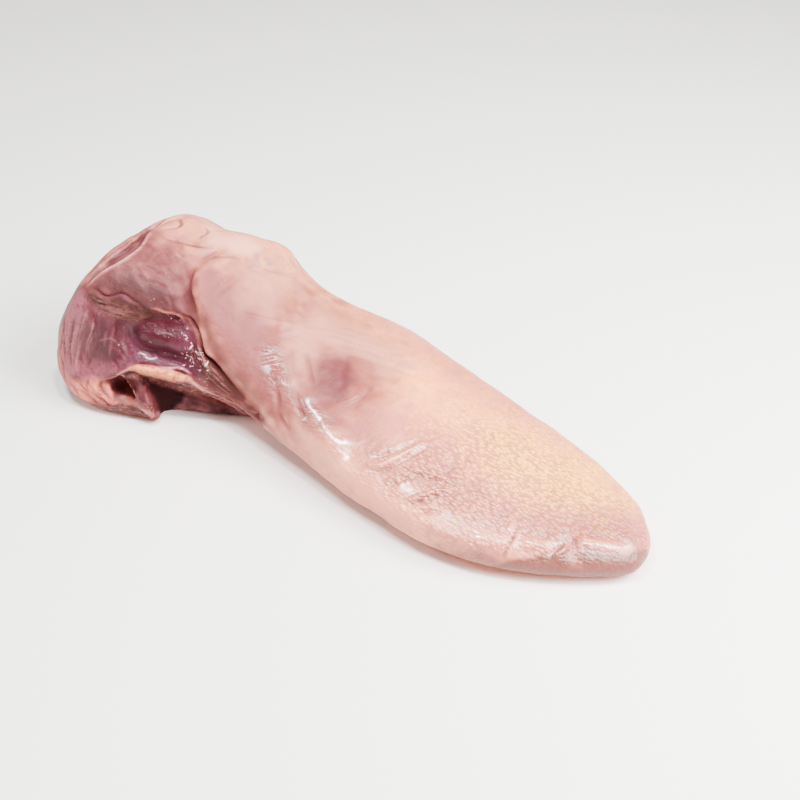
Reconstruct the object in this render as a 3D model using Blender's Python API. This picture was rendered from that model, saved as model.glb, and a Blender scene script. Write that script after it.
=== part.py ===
"""A raw beef tongue with its root, lying on its underside, as one closed solid.

+X runs from the root to the tip, -Y is the side with the open cut and +Z is up. The origin is
at the middle of the footprint, on the surface that the tongue lies on. Every size below is in
millimetres, and the finished mesh is brought to metres at the end.
"""

import math

import bmesh
import bpy
import numpy as np
from mathutils import Vector
from mathutils.kdtree import KDTree

MM = 0.001

# How finely the flesh is shaped
RING_POINTS = 48
STEPS_BETWEEN_STATIONS = 5
SHAPING_VOXEL = 2.4
SOFTENING_PASSES = 4
FINISHING_PASSES = 2
TRIANGLE_BUDGET = 9800
# Points lower than this touch the surface that the tongue lies on
CONTACT = 0.5
STEPS_ALONG_A_CREASE = 10

# Cross-sections: x, centre y, half width, centre z, half height, squareness (2 is an ellipse).
# The blade is the free tongue with its back, which climbs over the root towards the throat.
BLADE = (
    (-128, -1, 30, 56, 22, 2.2),
    (-112, 5, 38, 56, 29, 2.2),
    (-95, 8, 42, 53, 33, 2.3),
    (-78, 9, 45, 45, 32, 2.3),
    (-60, 10.5, 45, 35, 29, 2.3),
    (-40, 11.5, 48, 28.5, 27, 2.3),
    (-20, 13, 52.5, 24, 26.5, 2.3),
    (0, 12.5, 55, 20.5, 25.5, 2.3),
    (22, 9, 56, 18, 24, 2.3),
    (46, 5.5, 56, 16, 21, 2.3),
    (73, 1.5, 54.5, 14, 18, 2.3),
    (99, 1, 51, 12.5, 15.5, 2.3),
    (121, 1.5, 45, 11, 13, 2.3),
    (141, 3, 36, 10, 11, 2.3),
    (156, 4, 26.5, 9, 9.5, 2.3),
    (166, 2.5, 18, 8.5, 8, 2.2),
    (173, 0.5, 9.5, 8, 5.5, 2.0),
)
# The root is the thick block of muscle under the back, down to the surface it lies on.
ROOT = (
    (-171, -33, 14, 21, 14, 2.2),
    (-163, -28, 30, 27, 26, 2.6),
    (-152, -18, 43, 34, 37.5, 2.9),
    (-142, -10, 49, 40, 46.5, 3.0),
    (-130, -6, 51, 41, 48, 3.1),
    (-110, -1, 46, 36, 50, 3.0),
    (-90, 7, 43, 27, 50, 2.8),
    (-72, 12, 40, 23, 41, 2.7),
    (-55, 15, 35, 20, 32, 2.6),
    (-38, 16, 34, 20, 25, 2.4),
    (-10, 16, 32, 18, 22, 2.2),
)
# The foot is the fatty bulge at the open side's lower corner.
FOOT = (
    (-173, -37, 8, 18, 8, 2.2),
    (-166, -40, 18, 18, 16, 2.2),
    (-152, -43, 23, 17, 19, 2.3),
    (-134, -42, 24, 15, 19, 2.3),
    (-117, -40, 20, 13, 17, 2.3),
    (-107, -39, 16, 12, 14, 2.2),
    (-101, -38, 10, 9, 9, 2.0),
)
# The shoulder is the far corner of the hump, above the blade's edge.
SHOULDER = (
    (-112, 23, 14, 60, 12, 2.2),
    (-98, 28, 21, 59, 17, 2.4),
    (-84, 33, 21, 57, 18, 2.6),
    (-74, 35, 16, 53, 15, 2.4),
    (-69, 35, 8, 50, 8, 2.2),
)

# Hollows cut out of the flesh, as cross-sections like those above
UNDER_LIP = (
    (-103, -55, 4, 14, 6, 2.0),
    (-98, -54, 14, 14, 13, 2.3),
    (-88, -48, 16, 13, 14, 2.5),
    (-74, -41, 15.5, 11, 12, 2.5),
    (-60, -34, 14, 9, 10, 2.4),
    (-48, -33, 12, 7, 9, 2.2),
    (-38, -36, 8, 4, 6, 2.2),
    (-30, -37, 3, 3, 3, 2.0),
)
CAVITY = (
    (-128, -59, 4, 20, 3, 2.0),
    (-123, -57, 10, 21, 7, 2.2),
    (-115, -54, 12, 20, 8.5, 2.2),
    (-109, -53, 4, 18, 4, 2.0),
)
CUT_FACE = (
    (-123, -52, 6, 53, 8, 2.2),
    (-113, -51, 12, 54, 13, 2.6),
    (-98, -46, 14, 53, 14, 2.6),
    (-87, -39, 13, 51, 13, 2.4),
    (-79, -36, 7, 48, 8, 2.2),
)
FAR_FACE = (
    (-150, 45, 5, 34, 14, 2.4),
    (-138, 50, 12, 34, 20, 2.6),
    (-112, 54, 14, 32, 22, 2.6),
    (-86, 60, 13, 26, 18, 2.4),
    (-64, 63, 7, 20, 9, 2.2),
)
THROAT = (
    (-182, -12, 24, 50, 17, 2.2),
    (-168, -12, 21, 50, 14, 2.3),
    (-160, -12, 15, 49, 9, 2.3),
    (-155, -12, 6, 48, 4, 2.0),
)

# Rounded cords of flesh and fat added to the outside: radius, then the points they follow
CORDS = {
    "fat lip": (4.0, ((-126, -55, 29), (-117, -53, 33.5), (-106, -49.5, 35), (-96, -45, 34),
                      (-87, -39.5, 30.5), (-78, -33, 25), (-68, -27.5, 18), (-57, -23, 11))),
    "flap": (4.4, ((-113, -51, 27), (-107, -52, 19), (-104, -52, 11), (-102.5, -50, 4))),
    "cut muscle": (8.0, ((-109, -37, 51), (-99, -34, 50), (-90, -29, 48))),
    "far lip": (4.0, ((-146, 33, 18), (-130, 39, 16), (-108, 43, 14), (-84, 48, 11),
                      (-60, 48, 8))),
    "far muscle": (10.0, ((-134, 33, 38), (-114, 37, 37), (-94, 40, 33))),
    "throat fold": (5.0, ((-160, 12, 38), (-165, -2, 34), (-167, -20, 34), (-164, -34, 40))),
}

# Creases pressed into the surface: half width, depth, then the points they follow
CREASES = {
    "edge of the back": (7.5, 4.5, ((-97, 8, 85), (-99, -4, 84), (-99, -13, 81), (-97, -19, 77),
                                    (-92, -24, 72), (-86, -28, 68), (-80, -30, 62),
                                    (-75, -31, 55), (-68, -33, 46), (-58, -34, 38),
                                    (-49, -35, 34), (-40, -36, 28))),
    "top of the cut": (5.0, 3.0, ((-134, -50, 69), (-120, -47, 68), (-108, -40, 66),
                                  (-96, -33, 64), (-86, -30, 60))),
    "rim of the end": (5.0, 2.5, ((-138, -44, 80), (-137, -34, 85), (-136, -20, 87),
                                  (-137, -4, 88), (-136, 10, 88), (-133, 22, 86))),
    "front of the hump": (6.0, 1.5, ((-79, 14, 76), (-75, 22, 72), (-72, 30, 67), (-69, 36, 62))),
    "far edge of the back": (7.0, 4.0, ((-128, 41, 66), (-108, 44, 60), (-86, 50, 50),
                                        (-66, 52, 40), (-48, 54, 28))),
    "end, upper fold": (7.0, 3.5, ((-152, 27, 60), (-160, 14, 66), (-160, -8, 70),
                                   (-160, -30, 64))),
    "end, lower fold": (7.0, 3.0, ((-160, 20, 24), (-168, 2, 22), (-171, -18, 20),
                                   (-172, -36, 27))),
    "end, side fold": (6.0, 3.5, ((-150, 32, 58), (-157, 27, 44), (-158, 22, 30))),
    "hollow of the side": (15.0, 1.8, ((4, -18, 46), (16, -28, 42), (28, -36, 36))),
    "under the blade": (15.0, 3.5, ((26, 7, 0), (70, 4, 0), (118, 3, 0))),
    "under the root": (13.0, 4.0, ((-142, -24, 0), (-112, -12, 0), (-84, 4, 0), (-58, 12, 0))),
}
# Along the middle of the blade, from the hump towards the tip
MEDIAN_GROOVE = (18.0, 1.6, ((-40, 15, 55), (10, 11, 45), (60, 3, 36), (110, 2, 26)))


def section_point(station, turn):
    """A point of a cross-section, turn radians round from the far side over the top."""
    x, centre_y, half_width, centre_z, half_height, squareness = station
    cos, sin = math.cos(turn), math.sin(turn)
    across = math.copysign(abs(cos) ** (2 / squareness), cos)
    up = math.copysign(abs(sin) ** (2 / squareness), sin)
    return Vector((x, centre_y + half_width * across, centre_z + half_height * up))


def smooth_rows(rows, steps):
    """The rows with others worked out between them, on Catmull-Rom curves."""
    table = np.array(rows, float)
    padded = np.vstack([2 * table[0] - table[1], table, 2 * table[-1] - table[-2]])
    found = []
    for a, b, c, d in zip(padded, padded[1:], padded[2:], padded[3:]):
        for step in range(steps):
            t = step / steps
            found.append(
                0.5 * (2 * b + (c - a) * t + (2 * a - 5 * b + 4 * c - d) * t**2
                       + (3 * b - a - 3 * c + d) * t**3)
            )
    return np.array([*found, table[-1]])


def add_loft(bm, stations):
    """A closed body through the cross-sections."""
    rings = []
    for station in smooth_rows(stations, STEPS_BETWEEN_STATIONS):
        turns = (2 * math.pi * i / RING_POINTS for i in range(RING_POINTS))
        rings.append([bm.verts.new(section_point(station, turn)) for turn in turns])
    for ring, following in zip(rings, rings[1:]):
        for i in range(RING_POINTS):
            j = (i + 1) % RING_POINTS
            bm.faces.new((ring[i], following[i], following[j], ring[j]))
    bm.faces.new(rings[0])
    bm.faces.new(reversed(rings[-1]))


def add_cord(bm, radius, path):
    """A chain of overlapping balls along a path, which the remeshing makes one rounded cord."""
    for point in smooth_rows(path, STEPS_BETWEEN_STATIONS):
        made = bmesh.ops.create_icosphere(bm, subdivisions=2, radius=radius)
        bmesh.ops.translate(bm, verts=made["verts"], vec=Vector(point))


def object_from(name, bm):
    bmesh.ops.recalc_face_normals(bm, faces=bm.faces)
    mesh = bpy.data.meshes.new(name)
    bm.to_mesh(mesh)
    bm.free()
    obj = bpy.data.objects.new(name, mesh)
    bpy.context.scene.collection.objects.link(obj)
    return obj


def apply_modifier(obj, kind, **settings):
    modifier = obj.modifiers.new(kind, kind)
    for key, value in settings.items():
        setattr(modifier, key, value)
    bpy.context.view_layer.objects.active = obj
    bpy.ops.object.modifier_apply(modifier=modifier.name)


def fuse(obj, voxel):
    """Makes one skin of everything in the object that overlaps."""
    apply_modifier(obj, "REMESH", mode="VOXEL", voxel_size=voxel)


def cut_out(obj, stations):
    """Takes a hollow out of the object."""
    bm = bmesh.new()
    add_loft(bm, stations)
    cutter = object_from("cutter", bm)
    apply_modifier(obj, "BOOLEAN", operation="DIFFERENCE", solver="EXACT", object=cutter)
    bpy.data.objects.remove(cutter)


def vertex_table(obj, key):
    found = np.empty(len(obj.data.vertices) * 3, np.float32)
    if key == "co":
        obj.data.vertices.foreach_get("co", found)
    else:
        obj.data.vertex_normals.foreach_get("vector", found)
    return found.reshape(-1, 3).astype(float)


def press(obj, half_width, depth, path):
    """Presses a rounded furrow into the surface, under a path that runs close to it."""
    line = smooth_rows(path, STEPS_ALONG_A_CREASE)
    tree = KDTree(len(line))
    for i, point in enumerate(line):
        tree.insert(obj.closest_point_on_mesh(Vector(point))[1], i)
    tree.balance()
    points, normals = vertex_table(obj, "co"), vertex_table(obj, "normal")
    away = np.array([tree.find(p)[2] for p in points])
    share = np.clip(1 - (away / half_width) ** 2, 0, 1) ** 2
    points -= normals * (depth * share)[:, None]
    obj.data.vertices.foreach_set("co", points.ravel())
    obj.data.update()


def lay_flat(obj):
    """Flattens the underside on the surface that the tongue lies on."""
    points = vertex_table(obj, "co")
    points[points[:, 2] < CONTACT, 2] = 0
    obj.data.vertices.foreach_set("co", points.ravel())
    obj.data.update()


def thin_to_budget(obj):
    """Joins faces where the surface is nearly flat, until the mesh is inside its budget."""
    triangles = sum(len(face.vertices) - 2 for face in obj.data.polygons)
    apply_modifier(obj, "DECIMATE", ratio=TRIANGLE_BUDGET / triangles, use_collapse_triangulate=True)


def place(obj):
    """Puts the origin at the middle of the footprint and brings the mesh to metres."""
    points = vertex_table(obj, "co")
    low, high = points.min(0), points.max(0)
    points -= ((low[0] + high[0]) / 2, (low[1] + high[1]) / 2, low[2])
    obj.data.vertices.foreach_set("co", (points * MM).ravel())
    obj.data.update()


def flesh_material():
    material = bpy.data.materials.new("raw tongue")
    material.use_nodes = True
    shader = material.node_tree.nodes["Principled BSDF"]
    shader.inputs["Base Color"].default_value = (0.72, 0.47, 0.44, 1)
    shader.inputs["Roughness"].default_value = 0.4
    shader.inputs["Metallic"].default_value = 0
    return material


def main():
    for obj in list(bpy.data.objects):
        bpy.data.objects.remove(obj)
    bm = bmesh.new()
    for stations in (BLADE, ROOT, FOOT, SHOULDER):
        add_loft(bm, stations)
    tongue = object_from("tongue", bm)
    fuse(tongue, SHAPING_VOXEL)
    apply_modifier(tongue, "SMOOTH", factor=0.5, iterations=SOFTENING_PASSES)
    for stations in (UNDER_LIP, CAVITY, CUT_FACE, FAR_FACE, THROAT):
        cut_out(tongue, stations)
    bm = bmesh.new()
    bm.from_mesh(tongue.data)
    for radius, path in CORDS.values():
        add_cord(bm, radius, path)
    bm.to_mesh(tongue.data)
    bm.free()
    fuse(tongue, SHAPING_VOXEL)
    lay_flat(tongue)
    for half_width, depth, path in (*CREASES.values(), MEDIAN_GROOVE):
        press(tongue, half_width, depth, path)
    apply_modifier(tongue, "SMOOTH", factor=0.5, iterations=FINISHING_PASSES)
    lay_flat(tongue)
    thin_to_budget(tongue)
    lay_flat(tongue)
    place(tongue)
    tongue.data.materials.append(flesh_material())
    tongue.data.shade_smooth()


main()
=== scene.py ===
"""The looks of a raw beef tongue with its root, on a pale studio floor.

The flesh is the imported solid, made finer, with creases, folds, fibres and pores sculpted into it.
Lines and areas that show from the camera are given as pixels of an 800 by 800 view and thrown
onto the surface. The hidden sides are given as points in the row frame, in millimetres.
"""

import math
import random

import bmesh
import bpy
import numpy as np
from mathutils import Euler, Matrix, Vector
from mathutils.bvhtree import BVHTree

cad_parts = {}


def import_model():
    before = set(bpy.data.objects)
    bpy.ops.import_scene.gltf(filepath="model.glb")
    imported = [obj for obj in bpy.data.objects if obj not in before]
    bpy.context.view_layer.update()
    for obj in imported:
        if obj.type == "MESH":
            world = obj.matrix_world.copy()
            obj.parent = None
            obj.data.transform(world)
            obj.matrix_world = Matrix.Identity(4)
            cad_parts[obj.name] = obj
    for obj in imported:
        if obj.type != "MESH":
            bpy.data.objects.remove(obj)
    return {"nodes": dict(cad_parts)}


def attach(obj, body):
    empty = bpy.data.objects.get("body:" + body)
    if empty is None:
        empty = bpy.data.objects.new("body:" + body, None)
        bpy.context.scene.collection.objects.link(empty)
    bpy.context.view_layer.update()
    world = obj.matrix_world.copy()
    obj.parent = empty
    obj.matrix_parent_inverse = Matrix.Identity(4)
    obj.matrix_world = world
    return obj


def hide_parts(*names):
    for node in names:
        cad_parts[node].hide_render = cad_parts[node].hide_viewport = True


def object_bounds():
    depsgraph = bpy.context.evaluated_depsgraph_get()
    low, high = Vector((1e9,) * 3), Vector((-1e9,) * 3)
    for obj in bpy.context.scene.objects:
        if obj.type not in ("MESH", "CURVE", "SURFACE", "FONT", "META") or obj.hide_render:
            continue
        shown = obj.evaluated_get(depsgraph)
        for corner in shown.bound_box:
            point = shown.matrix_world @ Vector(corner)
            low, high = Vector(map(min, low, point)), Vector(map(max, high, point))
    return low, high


MM = 0.001

# The camera of the view, in metres
CAMERA_PLACE = (0.32229, -0.42993, 0.47897)
CAMERA_TURN = (math.radians(50.0), 0.0, math.radians(34.3))
FOCAL_PIXELS = 1311.0
VIEW_PIXELS = 800
SENSOR_MM = 36.0
NEAREST = 0.01

# The skin's mesh, in millimetres: how fine it is before what the camera sees is split, how
# close the solid's loose corners lie, and how far the skin stays inside the solid's box
SKIN_VOXEL = 1.8
FIRST_SMOOTHING = 4
SAME_POINT = 0.01
BOX_MARGIN = 0.005

# What counts as seen from the camera: the least cosine of its angle to the surface, how far a
# ray may land from a point in millimetres, and how fast sight grows with that cosine
TURNED_AWAY = -0.1
SIGHT_SLACK = 4.0
SEEN_LEAST, SEEN_RISE = 0.2, 6

# Strokes: points for each one given, the share of the length over which an end fades, the
# unevenness and its size, the least cosine to what is stroked, and how far out side rays start
CURVE_STEPS = 12
END_FADE = 0.22
STROKE_UNEVEN, STROKE_LUMPS = 0.35, 6.0
SAME_SIDE = 0.1
SIDE_START = 300.0

# Strands of a bundle: where each lies in its share of the width, how it sways, the shares of
# the length between which it starts and ends, and its depth as a share of the bundle's
STRAND_SEED = 11
STRAND_PLACE = (0.1, 0.9)
STRAND_SWAY, STRAND_WAVES = 0.1, (2, 5)
STRAND_STARTS, STRAND_ENDS = (0, 0.4), (0.6, 1)
STRAND_DEPTHS = (0.6, 1.2)

# Edges: how uneven an area's is and the size of its lumps, where a blob ends and over how much
# it fades, as shares of its reach, and a blob's lumps as size, seed and share
EDGE_UNEVEN, EDGE_LUMPS = 0.6, 5.0
BLOB_EDGE, BLOB_FADE = 1.25, 0.5
BLOB_LUMPS = ((9.0, 7, 0.25), (4.0, 9, 0.12))

# Swells of the whole surface: where, height, size, squeeze along each axis and seed
RAW_MASKS = ("lobe", "under_shade", "membrane", "foot")
SWELLS = (
    ("all", 0.6, 16.0, (1, 1, 1), 1),
    ("all", 0.3, 7.0, (1, 1, 1), 2),
    ("all", 0.16, 4.5, (0.4, 1, 1), 8),
    ("raw", 0.3, 2.6, (1, 1, 0.3), 4),
    ("shine", 0.09, 2.8, (1, 1, 1), 6),
)

# The noise that gives each cell a fixed value
CELL_STEPS = (374761393, 668265263, 2147483647)
CELL_MIX = 1274126177
CELL_VALUES = 0xFFFF
SEED_STEP = 17.3
TINY = 1e-9

# Colours of the flesh, in linear light. Some of them are painted shade, painted sheen or painted
# glints, as noted beside them.
PALETTE = {
    "skin": (0.53, 0.145, 0.106, 1),
    "pale_skin": (0.68, 0.21, 0.132, 1),
    "hump": (0.57, 0.215, 0.112, 1),
    # lavender: the grey network of the hump, also painted shade in the hump's furrows
    "lavender": (0.33, 0.125, 0.135, 1),
    "near": (0.52, 0.135, 0.095, 1),
    # pale_near: the paler tone of the near flank, also painted sheen and painted highlights where
    # its mask lies
    "pale_near": (0.86, 0.28, 0.17, 1),
    "cream": (1.0, 0.35, 0.09, 1),
    "gold": (1.0, 0.42, 0.06, 1),
    # painted shade, mauve, over the left part of the back
    "mauve_shade": (0.2, 0.046, 0.038, 1),
    # painted sheen: paler patches where the light catches the hump and the near shoulder
    "painted_sheen": (0.78, 0.34, 0.24, 1),
    # painted shade on the lower near wall
    "wall_shade": (0.16, 0.038, 0.025, 1),
    # blush: the red of the hollow, also painted shade in it and in creases near the tip
    "blush": (0.098, 0.0185, 0.0215, 1),
    # rose: a red tone of the flesh, also painted shade in folds, hollows, dents and the left of the
    # back
    "rose": (0.2, 0.046, 0.043, 1),
    "shade": (0.2, 0.052, 0.05, 1),
    "papilla": (1.0, 0.56, 0.12, 1),
    "plane": (0.098, 0.0195, 0.0205, 1),
    "pale_plane": (0.19, 0.048, 0.048, 1),
    # painted shade on the plane, towards the crease and under the rim
    "plane_shade": (0.036, 0.0088, 0.01, 1),
    "lobe": (0.1, 0.0185, 0.0275, 1),
    # pale_lobe: the pale strands of the lobe, also painted rim light along its left edge
    "pale_lobe": (0.3, 0.084, 0.107, 1),
    # deep_lobe_and_shade: the darker plum of the lobe, also painted shade under the crease and in
    # the flap's slot
    "deep_lobe_and_shade": (0.05, 0.0068, 0.0125, 1),
    "cut": (0.068, 0.009, 0.0215, 1),
    "pale_cut": (0.088, 0.0165, 0.031, 1),
    # blood: the dark red of the cut, also painted shade in the slots and the cave
    "blood": (0.027, 0.0005, 0.0012, 1),
    "bead": (0.55, 0.10, 0.085, 1),
    "membrane": (0.032, 0.014, 0.0115, 1),
    "pale_membrane": (0.128, 0.053, 0.043, 1),
    "tan": (0.066, 0.0235, 0.0187, 1),
    "foot": (0.52, 0.095, 0.078, 1),
    "pale_foot": (0.85, 0.22, 0.16, 1),
    # under and pale_under_shade: painted shade in the recess below the strip and under the foot,
    # over dark red flesh
    "under_shade": (0.012, 0.002, 0.003, 1),
    "pale_under_shade": (0.3, 0.1, 0.11, 1),
    "strip": (0.066, 0.0155, 0.0155, 1),
    "pale_strip": (0.34, 0.1, 0.08, 1),
    "fat": (0.56, 0.14, 0.06, 1),
    "pale_fat": (0.8, 0.26, 0.11, 1),
    "thread": (0.60, 0.20, 0.19, 1),
    # painted glints, white-pink
    "glint": (1.0, 0.66, 0.6, 1),
    # painted shade in the gaps between strands and in creases
    "gap": (0.11, 0.024, 0.030, 1),
    # painted shade in deep creases and along the bottom edge
    "dark": (0.045, 0.006, 0.009, 1),
    # painted shade in the cave and the slot beside the flap
    "cavity": (0.013, 0.0008, 0.0012, 1),
}

# Patterns of the flesh: lumps along a metre, detail, roughness, distortion and squeeze
PATTERNS = {
    "blotches": (38.0, 4.0, 0.55, 0.0, None),
    "mottling": (120.0, 4.0, 0.6, 0.0, None),
    "network": (75.0, 5.0, 0.7, 0.8, None),
    "grain": (420.0, 3.0, 0.6, 0.0, None),
    "fine": (950.0, 2.0, 0.6, 0.0, None),
    "veins": (70.0, 5.0, 0.65, 0.6, None),
    "fibres": (150.0, 4.0, 0.65, 0.3, (1.0, 5.0, 5.0)),
    "strands": (110.0, 4.0, 0.65, 0.4, (5.0, 5.0, 1.0)),
    "ripples": (560.0, 2.0, 0.5, 1.2, None),
    "speckle": (300.0, 4.0, 0.7, 0.0, None),
    "spots": (300.0, 4.0, 0.65, 1.2, None),
}
BUD_SCALE = 600.0
BUD_SQUEEZE, BUD_TURN = (0.55, 1.0, 1.0), (0.0, 0.0, 0.5)

# How the flesh shines where it is wet and where it is dry, and how dry it is in each mask
WET_LOOKS = {
    "Coat Roughness": 0.2, "Coat IOR": 1.8, "Subsurface Weight": 0.08,
    "Subsurface Radius": (1.0, 0.4, 0.3), "Subsurface Scale": 0.003,
}
DRY_LOOKS = {"Roughness": 0.8, "Specular IOR Level": 0.08}
MATTE_SHARES = {
    "plane": 0.7, "under_shade": 0.9, "cavity": 1.0, "dark": 0.7, "hump": 0.6, "membrane": 0.4,
    "tan": 0.6, "mauve_shade": 0.6,
}

# The studio, in metres and watts: lamps have a name, place, size and power
FLOOR_SIZE, FLOOR_DROP = 6.0, 0.0002
FLOOR_LOOKS = {"Base Color": (0.855, 0.8388, 0.807, 1.0), "Roughness": 0.8}
AIR_COLOUR, AIR_STRENGTH = (1.0, 0.99, 0.97, 1.0), 0.3
LAMPS = (
    ("key", (-0.12, -0.22, 1.0), 0.19, 14.5),
    ("tip_key", (0.21, -0.1, 0.97), 0.08, 9.5),
    ("sky", (0.47, 0.12, 0.52), 0.5, 27.0),
    ("side", (-0.75, -0.6, 0.8), 0.2, 4.5),
)
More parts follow.
